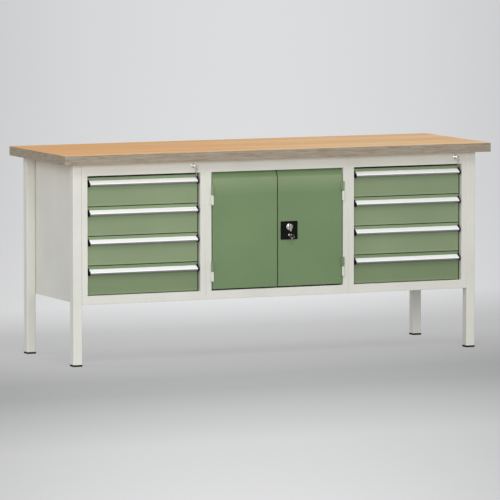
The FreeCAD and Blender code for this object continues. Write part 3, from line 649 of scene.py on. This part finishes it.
def pan(low, high, levels, lift, ease, rim, thick, steps=3):
    """A pressed pan, open to the back. Its outline climbs the left side through levels and comes
    down the right; the face lies lift(z) behind low y. The outline is drawn in by a quarter
    circle at the front and by rim at the back, and the inner skin is a sheet's thickness in."""
    levels = np.array(levels, float)
    away = lift(levels)
    turn = np.linspace(0, np.pi / 2, steps + 1)
    rows = [(ease * (1 - math.sin(t)), ease * (1 - math.cos(t)), None) for t in turn]
    rows += [(0, None, high[1]), (rim, None, high[1]), (rim, None, high[1] - thick),
             (thick, None, high[1] - thick), (thick, thick, None)]
    rings = []
    for inset, depth, fixed in rows:
        z = np.clip(levels, low[2] + inset, high[2] - inset)
        furthest = high[1] - (thick if inset == thick else 0)
        y = np.full(len(z), fixed) if depth is None else np.minimum(low[1] + away + depth, furthest)
        left = np.column_stack([np.full(len(z), low[0] + inset), y, z])
        right = np.column_stack([np.full(len(z), high[0] - inset), y, z])
        rings.append(np.vstack([left, right[::-1]]))
    points, blocks = loft(rings, capped=False)
    count = len(levels)
    step = np.arange(count - 1)
    ladder = np.stack([step, step + 1, 2 * count - 2 - step, 2 * count - 1 - step], -1)
    return points, blocks + [ladder, ladder + (len(rings) - 1) * 2 * count]


front_paint = powder_coat("reseda_green_powder_coat", srgb(125, 141, 107), 0.40)
# The lowest drawers' fronts get a darker copy of the same green: painted shade.
low_front_shaded_paint = powder_coat("reseda_green_low_front_painted_shade", srgb(113, 130, 95), 0.40)
tray_coat = powder_coat("stone_grey_tray_coat", srgb(150, 152, 150), 0.50)

grip_aluminium, tree, shader = new_finish("satin_anodised_aluminium", Metallic=0.15)
place = put(tree, "ShaderNodeTexCoord").outputs["Object"]
brushed = noise(tree, place, (6, 2600, 2600), 1.0, 3, 0.6)
tints = noise(tree, place, (8, 40, 40), 1.0, 2)
# Faces that turn downwards, under the grip's nose, are painted dark grey: painted shade.
facing = put(tree, "ShaderNodeNewGeometry").outputs["Normal"]
facing_up = put(tree, "ShaderNodeSeparateXYZ", {0: facing}).outputs["Z"]
facing_down = math_node(tree, "MULTIPLY", facing_up, -1.0)
underside_shade_share = ramp(tree, facing_down, (0.1, 0.0), (0.45, 1.0))
face_tone = blend_colours(tree, tints, (0.96, 0.96, 0.955), (0.985, 0.985, 0.98))
painted_shade_tone = blend_colours(tree, tints, (0.27, 0.27, 0.265), (0.32, 0.32, 0.31))
join(tree, blend_colours(tree, underside_shade_share, face_tone, painted_shade_tone), shader.inputs["Base Color"])
join(tree, ramp(tree, brushed, (0.3, 0.30), (0.7, 0.42)), shader.inputs["Roughness"])
raise_surface(tree, shader, brushed, 0.00002, 0.5)

lip_high, lip_out = 8 * MM, 1.6 * MM


def front_lift(bottom):
    """How far behind the face plane a drawer front lies: nothing, but less than nothing over
    the lip, which leans out in a straight line towards its lower edge."""
    return lambda z: -lip_out * np.clip((bottom + lip_high - z) / lip_high, 0, 1)


def grip_outline(face, top):
    """The strip's section: down the slope to the nose, back under the lip, and up the inside."""
    corners = np.array([
        (0, 0), (-24, -14), (-17, -22), (-13.5, -22), (-15.0, -19.9), (-20.2, -14.3), (-2, -3.7),
        (-2, -22), (0, -22)]) * MM
    radii = np.array([0.6, 4.0, 1.0, 0.8, 1.0, 1.5, 1.0, 0.4, 0.4]) * MM
    return softened(corners, radii, 4) + np.array([face, top])


def cap_outline(face, top, drawn_in):
    """The end cap's section: the strip's outer line closed straight behind, drawn in evenly."""
    corners = np.array([(0.0, 5.0), (-24.0, -14.0), (-17.0, -26.0), (0.0, -26.0)]) * MM
    centre = corners.mean(axis=0)
    away = corners - centre
    shrunk = centre + away * (1 - drawn_in / np.linalg.norm(away, axis=1))[:, None]
    radii = np.array([1.0, 4.0, 3.0, 1.0]) * MM
    return softened(shrunk, radii, 5) + np.array([face, top])


cap_wide, cap_ease, grip_drop = 7 * MM, 2.5 * MM, 13 * MM
front_ease, front_rim, front_sheet = 2.2 * MM, 9 * MM, 1.2 * MM
bar_ease = 1 * MM
lip_steps = np.array([0.35, 0.8, 1, 1.15]) * lip_high
for side in ("left", "right"):
    for number in range(1, 5):
        name = f"drawer_{side}_{number}"
        low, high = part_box(f"{name}_front")
        levels = np.concatenate([[low.z], low.z + lip_steps, [high.z]])
        shell = pan(low, high, levels, front_lift(low.z), front_ease, front_rim, front_sheet)
        # The lowest front takes the darker copy: painted shade.
        paint = low_front_shaded_paint if number == 4 else front_paint
        build(f"{name}_front_pressed", [shell], paint, name, [f"{name}_front"])

        (x0, y0, z0), (x1, y1, z1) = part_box(f"{name}_tray")
        tray_left, tray_right = x0 + bar_wide, x1 - bar_wide
        walls = [
            sheet_panel((tray_left, y0, z0), (tray_right, y1, z0 + sheet)),
            sheet_panel((tray_left, y0, z0 + sheet), (tray_right, y0 + sheet, z1)),
            sheet_panel((tray_left, y1 - sheet, z0 + sheet), (tray_right, y1, z1)),
            sheet_panel((tray_left, y0 + sheet, z0 + sheet), (tray_left + sheet, y1 - sheet, z1)),
            sheet_panel((tray_right - sheet, y0 + sheet, z0 + sheet), (tray_right, y1 - sheet, z1)),
        ]
        bar_z = low.z + bar_lift
        for bar_x in (x0, tray_right):
            bar_end = (bar_x + bar_wide, y1 - sheet, bar_z + bar_high)
            walls.append(eased_block((bar_x, y0, bar_z), bar_end, bar_ease))
        build(f"{name}_tray_folded", walls, tray_coat, name, [f"{name}_tray"])

        top = high.z - grip_drop
        strip = carried(grip_outline(low.y, top), [low.x + cap_wide, high.x - cap_wide], (1, 2))
        build(f"{name}_grip_strip", [strip], grip_aluminium, name, [f"{name}_grip"],
              30)

        caps = []
        turn = np.linspace(0, np.pi / 2, 5)
        rounding = zip(cap_ease * (1 - np.sin(turn)), cap_ease * (1 - np.cos(turn)))
        cap_steps = [*rounding, (0, cap_wide)]
        for outer, hand in ((low.x, 1), (high.x, -1)):
            rings = []
            for drawn_in, depth in cap_steps:
                flat = cap_outline(low.y, top, drawn_in)
                rings.append(np.column_stack([np.full(len(flat), outer + hand * depth), flat]))
            caps.append(loft(rings))
        build(f"{name}_end_caps", caps, black_plastic, name, [f"{name}_grip_caps"])


# ---------------------------------------------------------------------------------------------
# Doors: pressed green pans with a bevel along the top, each hung on two barrel hinges. The upper
# knuckle is welded to the door and painted with it, the lower one, with the pin, to the frame.

def turned(profile, centre, along=2, sides=32):
    """A turned part: (radius, along) pairs swept round an axis through the centre."""
    profile = np.array(profile, float)
    angle = np.linspace(0, 2 * np.pi, sides, endpoint=False)
    first, second = [axis for axis in range(3) if axis != along]
    rings = np.empty((len(profile), sides, 3))
    rings[:, :, first] = centre[first] + profile[:, 0][:, None] * np.cos(angle)
    rings[:, :, second] = centre[second] + profile[:, 0][:, None] * np.sin(angle)
    rings[:, :, along] = centre[along] + profile[:, 1][:, None]
    return loft(rings)


def eased_pin(radius, start, end, ease):
    """The profile of a round pin with both ends eased."""
    turn = np.linspace(0, np.pi / 2, 4)
    radii = radius - ease * (1 - np.sin(turn))
    depth = ease * (1 - np.cos(turn))
    return [*zip(radii, start + depth), *zip(radii[::-1], end - depth[::-1])]


def hinge_half(middle, away, face, level):
    """Half a hinge: a round knuckle up from a level, and a tab from it back into the face. Away
    is 1 or -1, the side of the knuckle that the tab stands on."""
    barrel = turned(eased_pin(knuckle, level, level + knuckle_high, knuckle_ease), middle)
    tab = sorted((middle[0] + away * tab_near, middle[0] + away * tab_far))
    tab_low = (tab[0], middle[1], level + tab_short)
    tab_high = (tab[1], face + tab_sunk, level + knuckle_high - tab_short)
    return [barrel, eased_block(tab_low, tab_high, tab_ease)]


def door_lift(top):
    """How far behind the face plane a door lies: nothing below the crease, a parabola through
    the bend, then a straight slope up to the top."""
    slope = bevel_deep / (top - crease)

    def lift(z):
        over = np.clip(z - crease + bend, 0, 2 * bend)
        return slope * (over ** 2 / (4 * bend) + np.clip(z - crease - bend, 0, None))

    return lift


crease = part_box("door_left")[1].z - 28 * MM
# The door's face is painted paler just below the top bend, fading out 71 mm below it: painted light
# where the face would catch more light.
painted_light_band = (crease - 71 * MM, crease - 12 * MM, crease - 3 * MM, crease + 3 * MM)
door_paint = powder_coat("reseda_green_door_coat", srgb(106, 129, 90), 0.38,
                         srgb(125, 142, 106), painted_light_band)
door_near, door_far, door_deep = 2.25 * MM, 305.5 * MM, 20 * MM
door_ease, door_rim, door_sheet = 2 * MM, 16 * MM, 1.2 * MM
bevel_deep, bend, top_strip = 18.6 * MM, 6 * MM, 3 * MM
knuckle, knuckle_high, knuckle_ease, knuckle_gap = 5.5 * MM, 41 * MM, 0.8 * MM, 0.5 * MM
pin_radius, pin_rise, pin_ease = 3 * MM, 38 * MM, 0.6 * MM
tab_near, tab_far, tab_short, tab_sunk, tab_ease = 2 * MM, 10 * MM, 3 * MM, 0.5 * MM, 1 * MM
upper_levels = (709 * MM, 381 * MM)
hinge_x, hinge_y = 307.75 * MM, -286 * MM
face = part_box("carcass_middle")[0].y

hinges = []
for side, hand in (("left", -1), ("right", 1)):
    name = f"door_{side}"
    low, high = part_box(name)
    x_edges = sorted((hand * door_near, hand * door_far))
    corner_low, corner_high = (x_edges[0], face, low.z), (x_edges[1], face + door_deep, high.z)
    creases = crease + np.linspace(-bend, bend, 7)
    levels = np.concatenate([[low.z], creases, [high.z - top_strip, high.z]])
    shells = [pan(corner_low, corner_high, levels, door_lift(high.z), door_ease, door_rim,
                  door_sheet)]
    spot = (hand * hinge_x, hinge_y, 0)
    for level in upper_levels:
        shells += hinge_half(spot, -hand, face, level)
        start = level - knuckle_high - knuckle_gap
        pin = eased_pin(pin_radius, start, start + knuckle_high + pin_rise, pin_ease)
        barrel, tab = hinge_half(spot, hand, face, start)
        hinges += [barrel, turned(pin, spot), tab]
    build(f"{name}_pressed", shells, door_paint, name, [name])
build("hinge_lower_knuckles", hinges, light_paint, "bench", ["hinge_lower_halves"])


# ---------------------------------------------------------------------------------------------
# Door lock: a square black plate let on to the right door, a nickel-plated turn handle whose
# spindle carries a pinion, and the two flat rods that the pinion drives up and down.

nickel, tree, shader = new_finish("bright_nickel_plating", Metallic=1.0)
place = put(tree, "ShaderNodeTexCoord").outputs["Object"]
scratches = noise(tree, place, (900, 900, 60), 1.0, 3, 0.6)
film = noise(tree, place, (1, 1, 1), 120, 3)
tarnish = blend_colours(tree, film, (0.60, 0.58, 0.54), (0.76, 0.74, 0.70))
join(tree, tarnish, shader.inputs["Base Color"])
join(tree, ramp(tree, scratches, (0.3, 0.14), (0.75, 0.30)), shader.inputs["Roughness"])
raise_surface(tree, shader, scratches, 0.00001, 0.3)

plate_low, plate_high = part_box("lock_plate")
lock_x = (plate_low.x + plate_high.x) / 2
handle_up, key_down = 15 * MM, 19 * MM
handle_z = (plate_low.z + plate_high.z) / 2 + handle_up
key_z = (plate_low.z + plate_high.z) / 2 - key_down
plate_face = plate_low.y

# The plate is rings (inset, depth), in millimetres: sides, eased rim, flat border, shallow dish.
plate_steps = ((0, 4.0), (0, 1.2), (0.35, 0.35), (1.2, 0), (5.0, 0), (5.8, 0.35), (6.2, 1.2))
rings = []
for inset, depth in plate_steps:
    corner = max(3.5 - inset * 0.3, 0.5) * MM
    flat = rounded_ring((plate_low.x + inset * MM, plate_low.z + inset * MM),
                        (plate_high.x - inset * MM, plate_high.z - inset * MM), corner)
    y = np.full(len(flat), plate_face + depth * MM)
    rings.append(np.column_stack([flat[:, 0], y, flat[:, 1]]))
build("lock_plate_moulded", [loft(rings)], black_plastic, "door_right", ["lock_plate"])

# The handle is a round hub close to the plate, and a bar lofted outwards from it through
# rounded rectangles (out, half width, up, down), in millimetres. The spindle runs back from it.
hub = [(0, 0.3), (14.2, 0.3), (15, -0.6), (15, -3.6), (14.2, -4.6), (12.6, -5.0), (0, -5.0)]
grip = ((3, 6.5, 14.5, 14), (7, 6.4, 14.8, 17), (11, 6.0, 14.6, 18.8), (14.5, 5.4, 13.8, 19),
        (16.4, 4.4, 12.4, 18), (17.0, 3.2, 10.8, 16.4))
hub_gap = 0.3
spindle_radius, spindle_long, spindle_ease = 4 * MM, 28 * MM, 0.5 * MM
spindle = eased_pin(spindle_radius, 0, spindle_long, spindle_ease)
hub_profile = np.array(hub) * MM + np.array([0, -hub_gap * MM])
handle_shells = [
    turned(hub_profile, (lock_x, plate_face, handle_z), 1, 40),
    turned(spindle, (lock_x, plate_face, handle_z), 1, 24),
]
grip_rings = []
for out, half_wide, up, down in grip:
    flat = rounded_ring((lock_x - half_wide * MM, handle_z - down * MM),
                        (lock_x + half_wide * MM, handle_z + up * MM), 0.9 * half_wide * MM, 6)
    y = np.full(len(flat), plate_face - (out + hub_gap) * MM)
    grip_rings.append(np.column_stack([flat[:, 0], y, flat[:, 1]]))
handle_shells.append(loft(grip_rings))

# The pinion's radius swings by a cosine cut off at 1 on both sides, which gives flat-topped teeth.
teeth, tooth_steps, pinion_deep = 14, 8, 6 * MM
pinion_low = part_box("locking_rod_upper")[0].y
pinion_high = pinion_low + pinion_deep
angle = np.linspace(0, 2 * np.pi, teeth * tooth_steps, endpoint=False)
tooth = np.clip(1.6 * np.cos(teeth * angle), -1, 1)
pinion_edge = (8.6 + 0.9 * tooth) * MM
pinion = np.stack([lock_x + pinion_edge * np.cos(angle), handle_z + pinion_edge * np.sin(angle)], -1)
handle_shells.append(carried(pinion, [pinion_low, pinion_high], (0, 2)))
build("door_turn_handle", handle_shells, nickel, "door_handle", ["door_handle"])

rod_ease = 0.5 * MM
for which in ("upper", "lower"):
    low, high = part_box(f"locking_rod_{which}")
    build(f"locking_rod_{which}_bar", [eased_block(low, high, rod_ease, along=2)], zinc,
          f"locking_rod_{which}", [f"locking_rod_{which}"])


# ---------------------------------------------------------------------------------------------
# Drawer locks and keys: nickel-plated cylinders in the top rails and the door's plate. Each holds
# a flat key, with its spare hanging from a split ring through the bow.

# A lock is (x, z, the surface its key stands out from, how far its rotor reaches back).
collar_out, rail_lock_long, door_lock_long = 1.5 * MM, 19 * MM, 7 * MM
sleeve = np.array([(5.1, -1.5), (9.6, -1.5), (10.3, -1.1), (10.5, -0.4), (10.5, 0), (9, 0),
                   (9, 19), (5.1, 19)]) * MM
barrels = []
lock_spots = {}
for side in ("left", "right"):
    low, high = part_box(f"drawer_lock_{side}_key")
    spot_x, spot_z = (low.x + high.x) / 2, (low.z + high.z) / 2
    rail_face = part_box(f"carcass_{side}")[0].y
    lock_spots[f"drawer_lock_{side}"] = (spot_x, spot_z, rail_face - collar_out, rail_lock_long)
    points, blocks = turned(sleeve, (spot_x, rail_face, spot_z), 1, 40)
    barrels.append((points, blocks[:1] + [closing_band(len(sleeve), 40)[:, ::-1]]))
build("drawer_lock_sleeves", barrels, nickel, "bench", ["drawer_lock_barrels"])
lock_spots["door_lock"] = (lock_x, key_z, plate_face, door_lock_long)


def key_shells():
    """A key in a plane of its own, (along the blade, up) from the middle of its bow: a bow drawn
    as a rounded ring round its hole, and a blade with cuts along one edge. Thickness is along x."""
    half, hole_radius, bow_ease, sides = 1 * MM, 3 * MM, 0.4 * MM, 36
    angle = np.linspace(0, 2 * np.pi, sides, endpoint=False)
    bow = (7.4 + 0.6 * np.cos(2 * angle)) * MM
    bow_steps = ((hole_radius, -half), (bow - bow_ease, -half), (bow, -half * 0.6),
                 (bow, half * 0.6), (bow - bow_ease, half), (hole_radius, half))
    rings = []
    for radius, off in bow_steps:
        wide = np.broadcast_to(radius, angle.shape)
        thick = np.full(sides, off)
        rings.append(np.column_stack([thick, wide * np.cos(angle), wide * np.sin(angle)]))
    points, blocks = loft(rings, capped=False)
    cuts = np.array([(6.6, -3), (11.5, -3), (12.5, -1.7), (13.6, -1.7), (14.4, -2.6), (15.4, -1.4),
                     (16.6, -1.4), (17.6, -2.4), (18.6, -1.8), (19.6, -2.2), (20.6, -1.4), (22, 0),
                     (20.8, 2.6), (20, 3), (6.6, 3)]) * MM
    outline = softened(cuts, 0.25 * MM, 2)
    blade = carried(outline, [-half * 0.85, half * 0.85], (1, 2))
    return [(points, blocks + [closing_band(len(rings), sides)]), blade]


def moved(shell, turn, spot):
    """A shell turned by a 3x3 matrix about the origin and then moved to a spot."""
    points, blocks = shell
    return points @ np.array(turn).T + np.array(spot), blocks


def split_ring(centre, radius, wire):
    """A ring of wire in a plane across y: the wire's round section carried along a short helix
    of two turns."""
    turns, pitch = 2.0, wire * 1.9
    run = np.linspace(0, 1, 97)
    angle = run * turns * 2 * np.pi - np.pi * 0.3
    around = np.linspace(0, 2 * np.pi, 10, endpoint=False)
    reach = radius + wire * np.cos(around)[None, :]
    shift = (run - 0.5)[:, None] * pitch
    rings = np.stack([
        centre[0] + reach * np.cos(angle)[:, None],
        centre[1] + shift + wire * np.sin(around)[None, :],
        centre[2] + reach * np.sin(angle)[:, None]], -1)
    return loft(rings)


# The ring hangs from the key's bow to the lower right. The spare hangs from the ring's lowest
# point, blade down, turned an eighth of a turn so that its flat side faces front and right.
eighth = math.sqrt(0.5)
ring_radius, ring_wire = 9 * MM, 0.45 * MM
bow_out = 16 * MM
spare_turn = np.array([[eighth, eighth, 0], [-eighth, eighth, 0], [0, 0, 1]])
hanging = np.array([[1, 0, 0], [0, 0, 1], [0, -1, 0]])
for lock, (x, z, surface, rotor_long) in lock_spots.items():
    bow_y = surface - bow_out
    shells = [moved(shell, np.eye(3), (x, bow_y, z)) for shell in key_shells()]
    rotor = [(0, -0.5), (4.2, -0.5), (4.9, 0.1), (4.9, rotor_long / MM), (0, rotor_long / MM)]
    shells.append(turned(np.array(rotor) * MM, (x, surface, z), 1, 28))
    build(f"{lock}_key_cut", shells, nickel, f"{lock}_key", [f"{lock}_key"])

    ring_middle = (x + ring_radius * eighth, bow_y, z - ring_radius * eighth)
    hook = (ring_middle[0], bow_y, ring_middle[2] - ring_radius)
    shells = [split_ring(ring_middle, ring_radius, ring_wire)]
    shells += [moved(shell, spare_turn @ hanging, hook) for shell in key_shells()]
    build(f"{lock}_spare_on_ring", shells, nickel, f"{lock}_spare_key", [f"{lock}_spare_key"])
